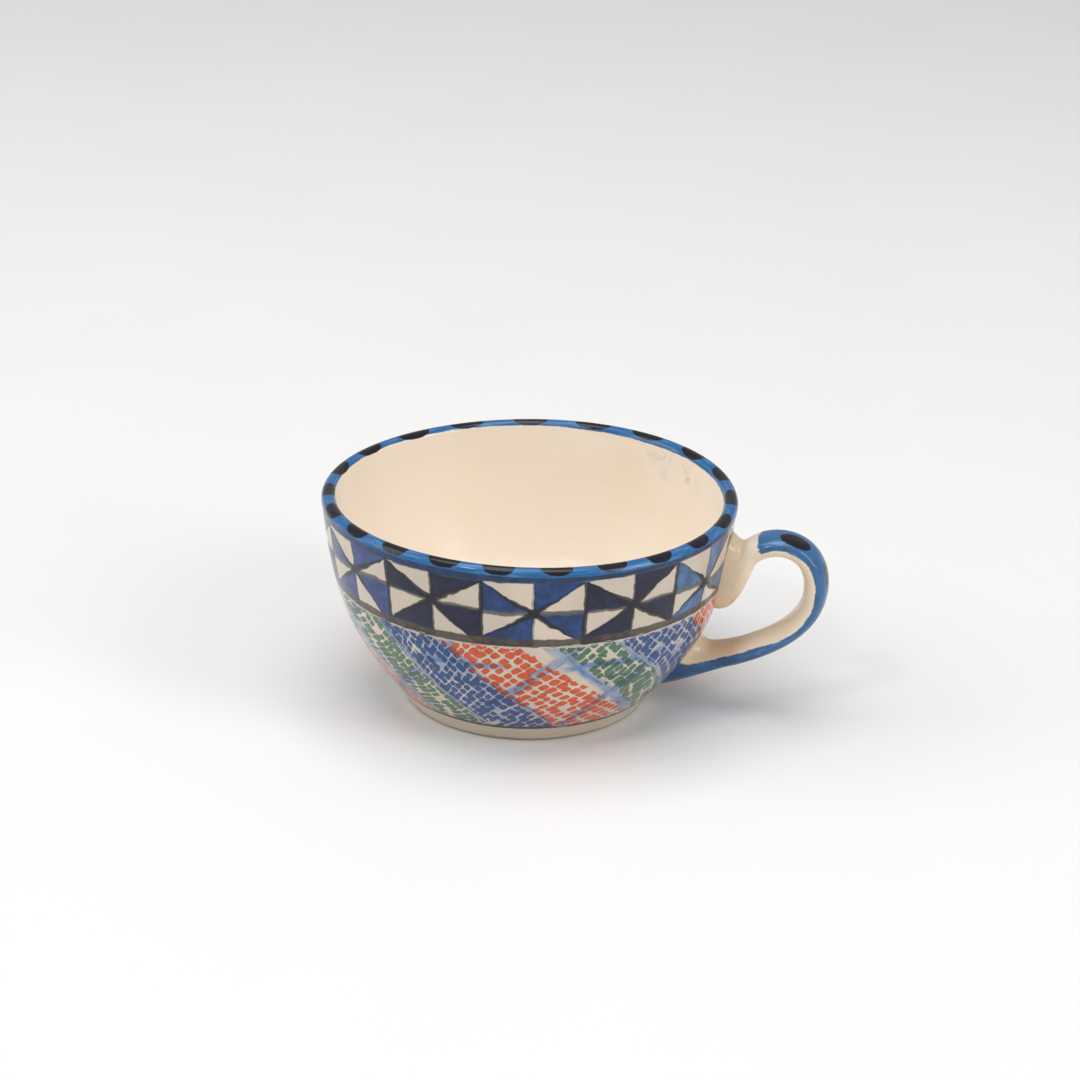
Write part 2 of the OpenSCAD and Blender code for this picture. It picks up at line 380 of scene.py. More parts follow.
def build_cup():
    """Every piece of the cup, by a short name."""
    pieces = {}
    pieces["mosaic"] = shell(
        "painted_mosaic_band",
        wall_side(0, MOSAIC_T, BAND_T, 36),
        wall_side(GLAZE_T, BAND_T, MOSAIC_T, 8))
    pieces["belly"] = shell(
        "stamped_belly_glaze",
        wall_side(0, MOSAIC_T, 1, 64),
        wall_side(GLAZE_T, 1, MOSAIC_T, 16))
    pieces["rim"] = shell(
        "painted_rim_band",
        rim_section(),
        [wall_point(BAND_T, GLAZE_T)] + lip_arc(LIP_R - GLAZE_T, 12)[::-1] + [inner_point(BAND_T, GLAZE_T)])
    pieces["inside"] = shell(
        "inner_clear_glaze",
        inner_side(0, BAND_T, 60, 20),
        inner_side(GLAZE_T, BAND_T, 20, 8)[::-1])
    bare = lip_arc(LIP_R - GLAZE_T, 10) + wall_side(GLAZE_T, 0, 1, 40)[1:]
    bare += [(FOOT_TOP_R, FOOT_H), (28.6, FOOT_H), (22, FOOT_H - 0.35), (0, FOOT_H - 0.55)]
    bare += inner_side(GLAZE_T, 0, 30, 12)[:0:-1]
    pieces["clay"] = lathe("bowl_clay", bare)
    cove = [(FOOT_TOP_R, FOOT_H), (STAND_R + 2.1, 3.3), (STAND_R + 1.6, 2.4), (STAND_R + EDGE_R, EDGE_R)]
    inner_r = STAND_R - STAND_W - EDGE_R
    foot = [bezier(cove, i / 10) for i in range(11)]
    foot += [(STAND_R + EDGE_R * math.cos(a), EDGE_R * (1 - math.sin(a)))
             for a in [math.pi / 2 * i / 8 for i in range(1, 9)]]
    foot += [(inner_r + EDGE_R * (1 - math.sin(a)), EDGE_R * (1 - math.cos(a)))
             for a in [math.pi / 2 * i / 8 for i in range(9)]]
    foot += [(inner_r - RECESS_DRAFT, FOOT_H)]
    pieces["foot"] = lathe("turned_foot_ring", foot, run=run_along(foot))
    pieces["handle"] = handle_mesh()
    return pieces


# ---------------------------------------------------------------- materials, written as arithmetic


def srgb(r, g, b):
    def lin(c):
        c /= 255
        return c / 12.92 if c <= 0.04045 else ((c + 0.055) / 1.055) ** 2.4

    return (lin(r), lin(g), lin(b), 1)


class Num:
    """A number in a material's nodes. Arithmetic with it adds nodes."""

    def __init__(self, paint, socket):
        self.paint, self.socket = paint, socket

    def __add__(self, other):
        return self.paint.math("ADD", self, other)

    def __sub__(self, other):
        return self.paint.math("SUBTRACT", self, other)

    def __rsub__(self, other):
        return self.paint.math("SUBTRACT", other, self)

    def __mul__(self, other):
        return self.paint.math("MULTIPLY", self, other)

    def __truediv__(self, other):
        return self.paint.math("DIVIDE", self, other)

    def __pow__(self, other):
        return self.paint.math("POWER", self, other)

    def __abs__(self):
        return self.paint.math("ABSOLUTE", self)

    def __neg__(self):
        return self.paint.math("MULTIPLY", self, -1)

    def __or__(self, other):
        return self.paint.math("MAXIMUM", self, other)

    def __invert__(self):
        return self.paint.math("SUBTRACT", 1, self)

    __radd__ = __add__
    __rmul__ = __mul__

    def floor(self):
        return self.paint.math("FLOOR", self)

    def wrap(self, low, high):
        return self.paint.math("WRAP", self, high, low)

    def step(self, start, end):
        """0 before start and 1 after end, smooth between; start may be past end."""
        node = self.paint.node("ShaderNodeMapRange", interpolation_type="SMOOTHSTEP")
        self.paint.put(node.inputs["Value"], self)
        self.paint.put(node.inputs["From Min"], start)
        self.paint.put(node.inputs["From Max"], end)
        return Num(self.paint, node.outputs["Result"])

    def near(self, value, half_width, soft):
        """1 within half_width of value, falling to 0 over soft."""
        return abs(self - value).step(half_width + soft, half_width - soft)


class Paint:
    """One node material and the numbers that its pattern is worked out from, in millimetres and degrees."""

    def __init__(self, name):
        self.mat = bpy.data.materials.new(name)
        self.mat.use_nodes = True
        self.tree = self.mat.node_tree
        self.tree.nodes.clear()
        coord = self.node("ShaderNodeTexCoord")
        scale = self.node("ShaderNodeVectorMath", operation="SCALE")
        self.put(scale.inputs[0], coord.outputs["Object"])
        scale.inputs["Scale"].default_value = 1 / MM
        self.place = scale.outputs[0]
        parts = self.node("ShaderNodeSeparateXYZ")
        self.put(parts.inputs[0], self.place)
        self.x, self.y, self.z = (Num(self, parts.outputs[i]) for i in range(3))
        self.turn = self.math("ARCTAN2", self.y, self.x) * (180 / math.pi)
        self.radius = self.math("SQRT", self.x * self.x + self.y * self.y)

    def node(self, kind, **settings):
        node = self.tree.nodes.new(kind)
        for key, value in settings.items():
            setattr(node, key, value)
        return node

    def put(self, socket, value):
        if isinstance(value, Num):
            value = value.socket
        if isinstance(value, bpy.types.NodeSocket):
            self.tree.links.new(value, socket)
        else:
            socket.default_value = value

    def math(self, operation, *values):
        node = self.node("ShaderNodeMath", operation=operation)
        for socket, value in zip(node.inputs, values):
            self.put(socket, value)
        return Num(self, node.outputs[0])

    def vector(self, x, y, z=0.0):
        node = self.node("ShaderNodeCombineXYZ")
        for socket, value in zip(node.inputs, (x, y, z)):
            self.put(socket, value)
        return node.outputs[0]

    def attribute(self, key):
        return Num(self, self.node("ShaderNodeAttribute", attribute_name=key).outputs["Fac"])

    def noise(self, size, seed=0.0, detail=2.0, rough=0.5, place=None, bend=0.0):
        """Noise between about -1 and 1, with features of that many millimetres."""
        node = self.node("ShaderNodeTexNoise", noise_dimensions="4D")
        self.put(node.inputs["Vector"], place or self.place)
        node.inputs["W"].default_value = seed * 3.71
        node.inputs["Scale"].default_value = 1 / size
        node.inputs["Detail"].default_value = detail
        node.inputs["Roughness"].default_value = rough
        node.inputs["Distortion"].default_value = bend
        return (Num(self, node.outputs["Fac"]) - 0.5) * 4

    def cells(self, place, jitter, sharpness=3.0):
        """(distance to the nearest of the scattered points, a random number for it) on a flat lattice."""
        node = self.node("ShaderNodeTexVoronoi", voronoi_dimensions="2D", distance="MINKOWSKI")
        self.put(node.inputs["Vector"], place)
        node.inputs["Scale"].default_value = 1
        node.inputs["Exponent"].default_value = sharpness
        node.inputs["Randomness"].default_value = jitter
        split = self.node("ShaderNodeSeparateColor")
        self.put(split.inputs[0], node.outputs["Color"])
        return Num(self, node.outputs["Distance"]), Num(self, split.outputs[0])

    def specks(self, size, seed):
        """Distance in cells to scattered points throughout space, and a random number for each."""
        node = self.node("ShaderNodeTexVoronoi", voronoi_dimensions="4D")
        self.put(node.inputs["Vector"], self.place)
        node.inputs["W"].default_value = seed * 5.3
        node.inputs["Scale"].default_value = 1 / size
        split = self.node("ShaderNodeSeparateColor")
        self.put(split.inputs[0], node.outputs["Color"])
        return Num(self, node.outputs["Distance"]), Num(self, split.outputs[0])

    def chance(self, value, seed):
        """A random number from 0 to 1 for each whole number."""
        node = self.node("ShaderNodeTexWhiteNoise", noise_dimensions="1D")
        self.put(node.inputs["W"], value + (seed * 17.31 + 0.5))
        return Num(self, node.outputs["Value"])

    def mix(self, under, over, share, blend="MIX"):
        node = self.node("ShaderNodeMix", data_type="RGBA", blend_type=blend, clamp_factor=True)
        self.put(node.inputs[0], share)
        self.put(node.inputs[6], under)
        self.put(node.inputs[7], over)
        return node.outputs[2]

    def lerp(self, a, b, share):
        return a + (b - a) * share

    def finish(self, colour, roughness, relief, gloss=0.6, coat_rough=0.05, specular=0.1):
        """Glazed ware: a coloured body under a clear coat; relief is the surface's height in mm."""
        bump = self.node("ShaderNodeBump")
        bump.inputs["Strength"].default_value = 1.0
        bump.inputs["Distance"].default_value = MM
        self.put(bump.inputs["Height"], relief)
        shader = self.node("ShaderNodeBsdfPrincipled")
        self.put(shader.inputs["Base Color"], colour)
        self.put(shader.inputs["Roughness"], roughness)
        self.put(shader.inputs["Normal"], bump.outputs[0])
        self.put(shader.inputs["Coat Normal"], bump.outputs[0])
        shader.inputs["IOR"].default_value = 1.5
        shader.inputs["Specular IOR Level"].default_value = specular
        shader.inputs["Coat Weight"].default_value = gloss
        shader.inputs["Coat Roughness"].default_value = coat_rough
        shader.inputs["Coat IOR"].default_value = 1.5
        out = self.node("ShaderNodeOutputMaterial")
        self.put(out.inputs[0], shader.outputs[0])
        return self.mat


# ---------------------------------------------------------------- colours
CREAM = srgb(243, 231, 216)
CREAM_WARM = srgb(240, 222, 198)
GROUND = srgb(205, 193, 177)
FOOT_GROUND = srgb(210, 197, 178)
BARE_CLAY = srgb(176, 162, 142)
IRON = srgb(150, 122, 92)
BLACK = srgb(24, 20, 24)
OUTLINE = srgb(22, 22, 34)
NAVY = srgb(24, 26, 56)
COBALT = srgb(28, 60, 110)
THIN_COBALT = srgb(44, 68, 122)
MID_BLUE = srgb(66, 104, 148)
POOLED_BLUE = srgb(92, 116, 178)
RIM_BLUE = srgb(40, 100, 156)
RIM_LIGHT = srgb(100, 156, 200)
RIM_DEEP = srgb(24, 62, 118)
# Random pools in the handle's stripe, and painted shade towards its lower end
STRIPE_BLUE = srgb(34, 98, 152)
STRIPE_DEEP = srgb(24, 72, 108)
LINE_GREY = srgb(68, 68, 73)
LINE_KHAKI = srgb(107, 99, 87)
TOP_LINE_GREY = srgb(80, 80, 84)
TOP_LINE_BLUE = srgb(24, 46, 84)
LOW_LINE = srgb(74, 64, 56)
LOW_LINE_EDGE = srgb(52, 47, 48)
WASH = srgb(98, 142, 186)
WASH_DEEP = srgb(64, 106, 158)
CORAL = srgb(200, 82, 44)
GREEN = srgb(76, 112, 88)
SPONGE_BLUE = srgb(46, 80, 134)
PRINT_RIM = srgb(30, 34, 50)
SMUDGE = srgb(120, 142, 182)
# Painted shade where the handle meets the wall
ROOT_SHADE_CREAM = srgb(206, 180, 144)
CORAL_STAIN = srgb(214, 120, 76)
BARE_WHITE = srgb(244, 238, 232)
HANDLE_CREAM = srgb(244, 227, 202)
HANDLE_WARM = srgb(238, 214, 180)
BAND_EDGE = srgb(70, 66, 66)
FOOT_LINE = srgb(26, 24, 28)
FOOT_WARM = srgb(196, 180, 158)
FOOT_SMEAR = srgb(118, 128, 150)
FLOOR_TINT = srgb(222, 198, 168)
UNDERSIDE = srgb(226, 212, 190)
UNDERSIDE_WARM = srgb(232, 214, 186)
DUST = srgb(168, 152, 130)
CLAY_GRAIN = srgb(158, 138, 112)
STAND_RUB = srgb(120, 110, 98)

# ---------------------------------------------------------------- places of the painting
# Angles round the cup in the patterns are in degrees from this one, which faces the viewer
FRONT = 80.0
# The rim's dabs, and how far along the rim band's section the top of the lip is
DAB_PITCH = 360 / 21
LIP_TOP_RUN = math.dist(inner_point(BAND_T, 0), lip_arc(LIP_R, 1)[0]) + LIP_R * (math.pi / 2 - FLARE)
# The pinwheels: degrees to each, where the first one's centre is, and the heights of their parts
WHEEL = 30.0
WHEEL_FRONT = 2.35
MOSAIC_MID_Z = 50.1
BLADES_TOP_Z = 59.9
BLADES_LOW_Z = 42
LOW_LINE_Z = 40.85
SQUARE_TO_DIAGONAL = 0.86
# The stamped bands: degrees to a set of three, degrees of lean for each millimetre down
BAND_LAP = 72.0
BAND_SLOPE = 1.22
PRINT_W = 3.7
PRINT_H = 1.68
FOOT_LINE_Z = 5.85
# The handle's stripe and dabs, in millimetres along the strap from its upper join
STRIPE_START = 3.2
FIRST_DAB = 12.2
DAB_STEP = 11.9
LAST_DAB = 62.0


def glaze_relief(p):
    """The surface of a brushed and dipped glaze: slow waves, a little orange peel, and pinholes."""
    far, pick = p.specks(2.6, 1)
    holes = far.step(0.10, 0.02) * pick.step(0.80, 0.84)
    waves = p.noise(11, 2) * 0.028 + p.noise(3.4, 3) * 0.007
    return waves + p.noise(0.9, 4) * 0.0016 - holes * 0.03


def glaze_roughness(p):
    return 0.34 + p.noise(14, 5) * 0.05 + p.noise(1.6, 6) * 0.03


def ground(p, base=GROUND, warm=CREAM_WARM):
    """The cream of the clay under clear glaze, with faint clouds and a few iron specks."""
    colour = p.mix(base, warm, (p.noise(18, 7) * 0.5 + 0.3).step(0, 1) * 0.5)
    far, pick = p.specks(1.7, 8)
    iron = far.step(0.11, 0.05) * pick.step(0.93, 0.95)
    return p.mix(colour, IRON, iron * 0.55)


def ink(p, colour, size=3.0, depth=0.5, seed=9):
    """A colour laid on unevenly with a wet brush: paler where it is thin, dark where it pools."""
    share = (p.noise(size, seed, detail=3, bend=0.6) * depth + 0.5).step(0, 1)
    return p.mix(strength(colour, 0.62), strength(colour, 1.45), share)


def strength(colour, factor):
    return tuple(min(1, c * factor) for c in colour[:3]) + (1,)


def rim_paint():
    """Brushed blue over the lip, with black dabs across the crest."""
    p = Paint("rim_blue_with_black_dabs")
    theta = p.turn + FRONT
    down = p.attribute("run") - LIP_TOP_RUN
    drift = p.noise(6, 20) * 0.22 + p.noise(1.4, 21) * 0.10
    streak = p.noise(1.0, 22, detail=3, place=p.vector(theta * 0.16, down * 1.3, 0.0))
    blue = p.mix(RIM_BLUE, RIM_LIGHT, (streak * 0.42 + 0.22).step(0.1, 0.9))
    blue = p.mix(blue, RIM_DEEP, (p.noise(4.5, 23) * 0.5 + 0.1).step(0.2, 0.9) * 0.6)
    narrow = p.math("COSINE", (theta + 130) * (math.pi / 180)) | 0
    colour = p.mix(ground(p, CREAM), blue, (down + drift * 0.8 - narrow * 1.0).step(-3.35, -2.95))
    # The line under the blue, at the top of the mosaic band
    line = (down + drift * 0.6).step(2.85, 3.35)
    colour = p.mix(colour, top_line_ink(p), line * 0.95)
    # Black oval dabs over the crest, a little closer together at the front
    lap = theta / DAB_PITCH + p.math("SINE", theta * (math.pi / 180)) * 0.4 + 0.996
    index = lap.floor()
    luck = p.chance(index, 24)
    across = (lap - index - 0.5 + (luck - 0.5) * 0.05) * (15.9 * math.pi / 180 * (RIM_R - LIP_R))
    width = p.lerp(4.3, 5.0, p.chance(index, 25))
    height = p.lerp(2.3, 2.8, luck)
    rise = down - 0.15 + p.noise(3, 26) * 0.15
    shape = (abs(across) / width) ** 2.5 + (abs(rise) / height) ** 2.2 + p.noise(0.9, 27) * 0.05
    dab = shape.step(1.06, 0.92)
    colour = p.mix(colour, ink(p, BLACK, 2, 0.4), dab * 0.98)
    return p.finish(colour, glaze_roughness(p), glaze_relief(p) + dab * 0.05)


def top_line_ink(p):
    """The line under the rim's blue: bluish above, and grey-brown lower down."""
    blend = (p.z + p.noise(4, 44) * 0.45).step(59.5, 60.4)
    return p.mix(ink(p, TOP_LINE_GREY, 2.2, 0.5, 43), ink(p, TOP_LINE_BLUE, 2.2, 0.5, 45), blend)


def mosaic_paint():
    """Two rows of blue and white triangles, in pinwheels, between grey lines."""
    p = Paint("pinwheel_mosaic_under_glaze")
    theta = p.turn + FRONT
    x_wobble = p.noise(5, 30) * 0.38 + p.noise(1.6, 31) * 0.10
    z_wobble = p.noise(5, 32) * 0.38 + p.noise(1.6, 33) * 0.10
    half = WHEEL / 2 * math.pi / 180 * (RIM_R - 2.2)
    # The pinwheels are squeezed a little towards both sides of the front, as drawn by eye
    eye = p.math("SINE", theta * (math.pi / 180)) * 3.2 + 0.6
    wheel = (theta + eye - WHEEL_FRONT) / WHEEL + 0.5
    k = wheel.floor()
    x = (wheel - k - 0.5) * (2 * half) + x_wobble
    z = p.z + z_wobble
    # The line between the rows rides up at the left and sags beside the handle
    mid = hump(p, theta, -42, 21) * 2.0 - hump(p, theta, 63, 11) * 1.9 + (MOSAIC_MID_Z + 0.2)
    y = z - mid
    right = x.step(-0.02, 0.02)
    top = y.step(-0.02, 0.02)
    luck = p.chance(k, 34)
    # Each quarter has a diagonal from the wheel's centre; its blade is on one side of it
    high = (BLADES_TOP_Z - mid) / half
    low = (mid - BLADES_LOW_Z) / half
    bulge = p.noise(7, 47) * 0.5
    upper_left = y + x * high + bulge
    upper_right = y - x * high + bulge
    lower_left = y - x * low + bulge
    lower_right = y + x * low / p.lerp(0.62, 0.95, luck) + bulge
    side = p.lerp(p.lerp(lower_left, lower_right, right), p.lerp(upper_left, upper_right, right), top)
    # Ground shows above the diagonal at the left, and below it at the right
    away = p.lerp(side, -side, right) * SQUARE_TO_DIAGONAL
    white = (away - 0.22).step(-0.12, 0.12)
    turn = k.wrap(0, 4)
    navy = turn.near(1, 0.3, 0.1) | turn.near(3, 0.3, 0.1)
    blade = p.mix(ink(p, COBALT, 3.4, 0.45, 35), ink(p, NAVY, 3.4, 0.45, 36), navy)
    thinned = p.mix(ink(p, THIN_COBALT, 4, 0.5, 38), ink(p, MID_BLUE, 4, 0.5, 38), theta.step(-40, 40))
    blade = p.mix(blade, thinned, turn.near(2, 0.3, 0.1))
    pool = (p.noise(2.6, 39, detail=3, bend=1.0) * 0.5 + 0.1).step(0.3, 1.0)
    blade = p.mix(blade, POOLED_BLUE, pool * p.lerp(0.16, 0.34, p.chance(k, 48)))
    blade = p.mix(blade, OUTLINE, (away + 1.5).step(0, 1.5) * 0.35)
    colour = ground(p)
    # The line between the two rows goes on before the blades
    drag = p.noise(1.0, 42, detail=3, place=p.vector(theta * 0.14, p.z * 1.3, 0.0))
    khaki = p.mix(LINE_GREY, LINE_KHAKI, (drag * 0.4 + 0.55).step(0, 1))
    worn = p.noise(2.4, 40) * 0.16
    mid_line = y.near(0, 0.72 + worn, 0.2)
    blade = p.mix(blade, khaki, mid_line * p.lerp(0.75, 0.12, navy))
    colour = p.mix(p.mix(colour, khaki, mid_line * 0.92), blade, ~white)
    # Brushed outlines: thick at the wheel's centre and thinner, or gone, towards the corners
    out = p.math("SQRT", x * x + y * y)
    reach = p.lerp(0.7, 1.6, p.chance(k * 4 + right * 2 + top, 49))
    taper = p.lerp(0.75, 0.0, (out / half).step(0.1, reach)) + navy * 0.22
    diagonal = (abs(away) - (taper + worn)).step(0.22, -0.16) * taper.step(0.05, 0.2)
    upright = (abs(x) - 0.22 - worn - taper * 0.3).step(0.25, -0.16) * p.lerp(0.55, 0.9, navy)
    border = (half - abs(x) - 0.68 - worn * 1.4).step(0.25, -0.2)
    colour = p.mix(colour, OUTLINE, ((diagonal | upright | border) * 0.93))
    # Grey lines above and below the rows; wet blade colour has run over them in places
    run_over = p.noise(9, 50).step(0.35, 0.8) * 0.55
    lower = (z + worn).near(LOW_LINE_Z, 1.2, 0.25)
    dark = p.mix(ink(p, LOW_LINE, 2.2, 0.5, 43), LOW_LINE_EDGE, z.step(40.6, 39.9))
    colour = p.mix(colour, dark, lower * (1 - run_over * ~white) * 0.94)
    colour = p.mix(colour, top_line_ink(p), z.step(59.75, 60.15) * 0.95)
    blot = (out + p.noise(1.4, 45) * 0.45).step(1.9, 1.3)
    colour = p.mix(colour, OUTLINE, blot * p.chance(k, 46).step(0.1, 0.3) * 0.95)
    colour = p.mix(colour, ground(p), z.step(39.75, 39.5))
    return p.finish(colour, glaze_roughness(p), glaze_relief(p) + ~white * 0.012)


def belly_paint():
    """Slanting bands of green, blue and coral sponge prints, with thin blue brush strokes."""
    p = Paint("sponge_stamped_bands_under_glaze")
    theta = p.turn + FRONT
    z = p.z
    drop = MOSAIC_LOW_Z - z
    along = p.attribute("run")
    # Bands run down to the right. Their laps were judged by eye, so some are wider than others
    lean = hump(p, theta, -15, 38) * 0.24
    phi = (theta - drop * (BAND_SLOPE - lean)).wrap(-200, 160) + p.noise(24, 50) * 1.4
    phi = phi + hump(p, phi, -25, 25) * 7 + hump(p, phi, -80, 18) * 12
    lap = (phi - 8.5).wrap(0, BAND_LAP)
    edge = lap + p.noise(2.6, 51) * 1.3
    green = edge.near(9.2, 7.9, 0.4)
    blue = edge.near(32.5, 13.4, 0.4)
    red = edge.near(54.5 + drop * 0.095, 9.7 + drop * 0.095, 0.4)
    # Light blue brush strokes between the bands and across them
    gaps = lap.near(18.6, 1.9, 1.0) | lap.near(71.6, 2.0, 1.0) | lap.near(-0.2, 1.6, 1.0)
    gaps = gaps | lap.near(45.8, 1.4, 0.9)
    hairs = p.noise(1.0, 52, detail=3, place=p.vector(lap * 0.55, drop * 0.14, 3.0)) * 0.5 + 0.8
    cross = (theta + drop * 1.12 + p.noise(18, 53) * 2.2 - 15).wrap(-17, 19)
    cross_hairs = p.noise(1.0, 54, detail=3, place=p.vector(cross * 0.6, drop * 0.12, 9.0)) * 0.5 + 0.8
    level = (z + p.noise(9, 55) * 0.8).near(31.5, 1.0, 0.5) * p.noise(26, 56).step(-0.2, 0.5)
    damp = p.noise(7, 73) + p.noise(1.4, 74) * 0.45
    pooled = (blue * (damp + 0.55) | green * (damp - 0.15)).step(0.0, 0.7) * 0.62
    wash = (gaps * hairs) | (cross.near(0, 2.5, 1.0) * cross_hairs) | level | pooled
    wash = wash * (p.noise(13, 57) * 0.5 + 0.9).step(0.1, 0.9)
    colour = ground(p)
    dye = p.mix(WASH, WASH_DEEP, (p.noise(4, 58) * 0.6 + 0.45).step(0, 1))
    colour = p.mix(colour, dye, wash * 0.92)
    # Sponge prints: squarish dots on a lattice that follows each band, some run together
    i = (lap - 33) * p.radius * (math.pi / 180) / PRINT_W
    j = (along + i * 2.1) / PRINT_H
    drift = p.noise(7, 59) * 0.2
    far, luck = p.cells(p.vector(i + drift, j + drift, 0.0), 0.30, 3.4)
    size = p.lerp(0.405, 0.435, blue | green) + (luck - 0.5) * 0.09 + p.noise(6.5, 60) * 0.07
    dot = (far + p.noise(0.7, 61) * 0.035 - size).step(0.04, -0.04) * luck.step(0.03, 0.045)
    joined = (p.noise(4.6, 62) + (blue | green) * 0.26 + 0.1).step(0.66, 0.84)
    dot = dot | (joined * (far - 0.60).step(0.07, -0.07))
    thin = (p.noise(1.3, 63, detail=3) * 0.4 + 0.6).step(0, 1)
    rims = (size - far).step(0.14, 0.02)
    for mask, dye in ((green, GREEN), (blue, SPONGE_BLUE), (red, CORAL)):
        tone = p.mix(p.mix(strength(dye, 0.85), strength(dye, 1.3), thin), PRINT_RIM, rims * 0.12)
        print_here = dot * mask
        wet = p.mix(colour, tone, print_here, "MULTIPLY")
        colour = p.mix(wet, tone, print_here * p.lerp(0.92, 0.35, wash))
    top_edge = (z + p.noise(2, 67) * 0.5).step(38.7, 39.3)
    colour = p.mix(colour, ground(p), top_edge * 0.85)
    colour = p.mix(colour, BAND_EDGE, (z + p.noise(3, 68) * 0.25).step(39.3, 39.6) * 0.9)
    clear = (z + p.noise(3, 72) * 0.3).step(6.5, 5.9) * 0.9
    colour = p.mix(colour, ground(p, FOOT_GROUND, FOOT_GROUND), clear)
    line = (z + p.noise(16, 69) * 0.3 + p.noise(2, 70) * 0.1).near(FOOT_LINE_Z, 0.6, 0.14)
    broken = (p.noise(14, 71) * 0.6 + 0.8).step(0, 0.8)
    colour = p.mix(colour, FOOT_LINE, line * broken * 0.95)
    return p.finish(colour, glaze_roughness(p), glaze_relief(p) + dot * (green | blue | red) * 0.008)


def hump(p, value, centre, spread):
    """1 at a value, falling away smoothly to both sides."""
    off = (value - centre) / spread
    return p.math("EXPONENT", -(off * off))


def inside_paint():
    """Cream glaze with a smudge of stray blue under the rim."""
    p = Paint("cream_glaze_inside")
    colour = ground(p, CREAM, CREAM_WARM)
    theta = p.turn + FRONT
    smear = p.noise(4, 80, detail=5, rough=0.65, bend=0.8)
    spot = theta.near(128, 10, 8) * p.z.near(56.5, 3.0, 3)
    colour = p.mix(colour, SMUDGE, spot * smear.step(-0.1, 0.8) * 0.5)
    colour = p.mix(colour, FLOOR_TINT, p.z.step(14, 9) * 0.3)
    rings = p.math("SINE", p.z * 1.35 + p.noise(30, 81) * 1.5) * 0.004
    return p.finish(colour, glaze_roughness(p) + 0.1, glaze_relief(p) + rings, gloss=0.32, coat_rough=0.16)


def clay_paint():
    p = Paint("glazed_stoneware_underside")
    colour = ground(p, UNDERSIDE, UNDERSIDE_WARM)
    dust = p.noise(1.2, 85, detail=4).step(0.7, 1.4)
    colour = p.mix(colour, DUST, dust * 0.25)
    rings = p.math("SINE", p.radius * 2.4 + p.noise(20, 86) * 1.2) * 0.02
    return p.finish(colour, glaze_roughness(p), glaze_relief(p) + rings, gloss=0.8)


def foot_paint():
    """Glaze down to just above the stand, and bare clay where it was wiped off."""
    p = Paint("foot_glaze_and_bare_clay")
    glazed = (p.z + p.noise(4, 90) * 0.25 + p.noise(0.9, 91) * 0.1).step(0.55, 1.15)
    grain = p.noise(0.35, 92, detail=4)
    clay = p.mix(BARE_CLAY, CLAY_GRAIN, (grain * 0.4 + 0.4).step(0, 1) * 0.6)
    rub = p.z.step(0.4, 0.0) * p.noise(5, 93).step(-0.2, 0.9)
    clay = p.mix(clay, STAND_RUB, rub * 0.45)
    colour = p.mix(clay, ground(p, FOOT_GROUND, FOOT_WARM), glazed)
    smear = (p.z + p.noise(7, 94) * 0.5).near(3.9, 0.35, 0.3) * p.noise(9, 95).step(0.3, 1.0)
    colour = p.mix(colour, FOOT_SMEAR, smear * 0.35)
    rough = p.lerp(0.82, 0.30, glazed)
    relief = glaze_relief(p) * glazed + grain * 0.03 * ~glazed + glazed * 0.05
    return p.finish(colour, rough, relief, gloss=0.55, coat_rough=0.12)


